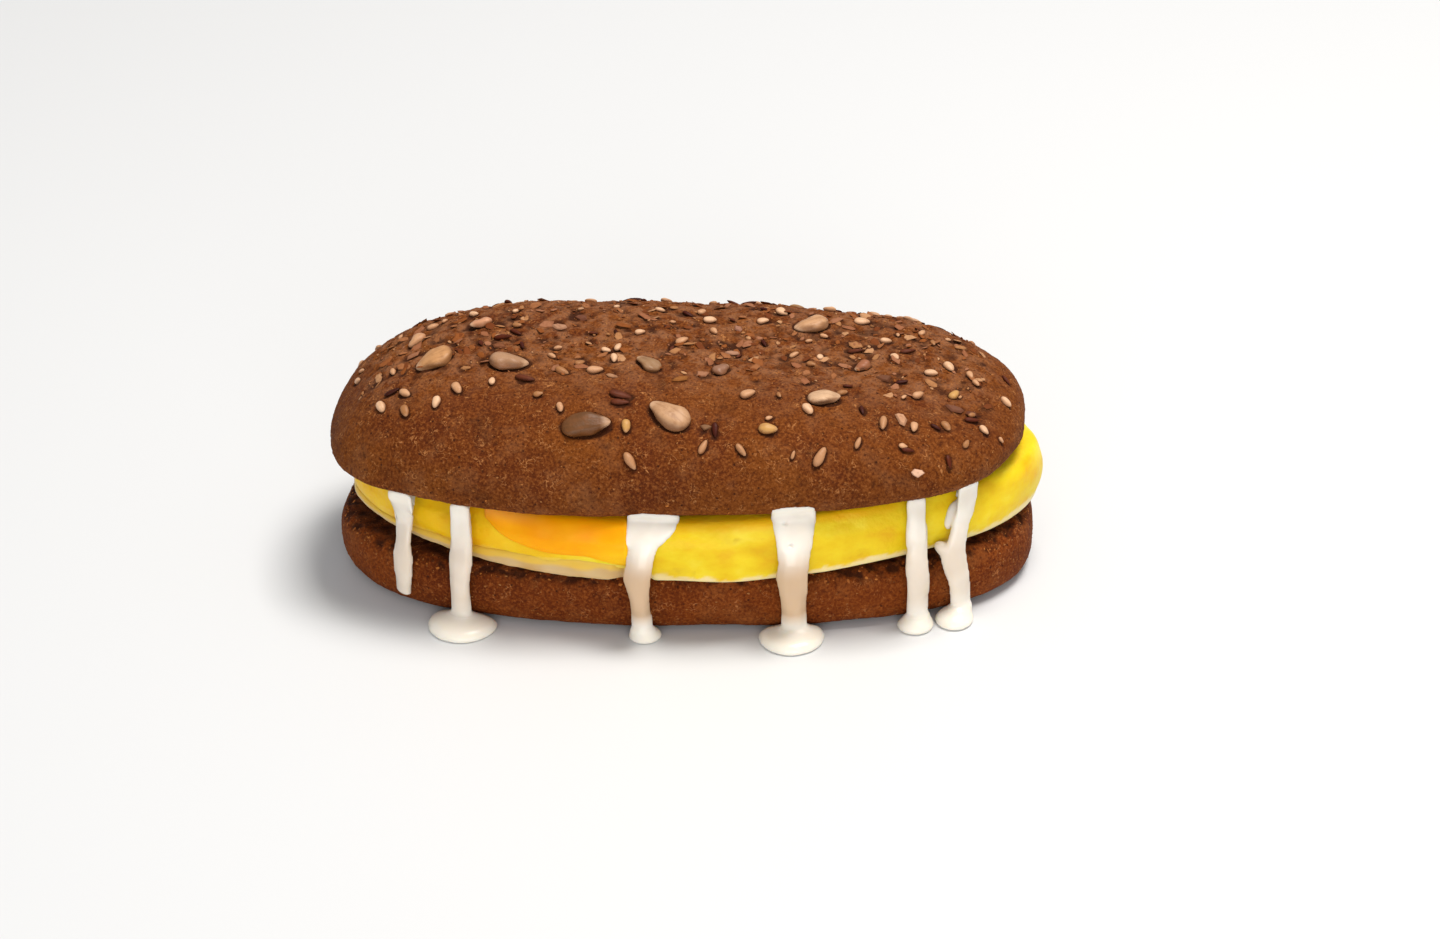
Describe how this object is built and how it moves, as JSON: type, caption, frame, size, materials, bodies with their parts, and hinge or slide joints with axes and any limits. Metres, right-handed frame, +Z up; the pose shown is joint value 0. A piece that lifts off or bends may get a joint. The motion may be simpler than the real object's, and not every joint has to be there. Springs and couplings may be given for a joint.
{
  "type": "breakfast sandwich",
  "caption": "Long oval breakfast sandwich: a seeded dark bun filled with an egg patty, two kinds of melted cheese and a white sauce that drips down one side.",
  "frame": {"origin": "on the floor under the heel of the bun, in its flat underside, 0.4 mm from the heel's middle", "axes": "+X along the length of the bun towards the end where the egg sticks out, -Y towards the side with the drips, +Z up"},
  "size_m": [0.1628, 0.088, 0.0552],
  "materials": {
    "crown_crust": "dark multigrain bread crust, dry and finely grained, with sunflower kernels, sesame and flax seeds baked in",
    "heel_crust": "dark bread crust, smoother, with a torn granular rim where the bun is cut",
    "pale_cheese": "pale melted cheese, soft sheen",
    "cooked_egg": "cooked egg, bright yellow, moist and softly lumpy",
    "melted_cheddar": "melted cheddar, orange and glossy",
    "white_sauce": "thick white cream sauce, glossy"
  },
  "bodies": {
    "root": {"bottom_bun": "heel_crust", "white_cheese": "pale_cheese", "egg": "cooked_egg", "cheddar": "melted_cheddar", "sauce": "white_sauce", "top_bun": "crown_crust"}
  },
  "joints": []
}
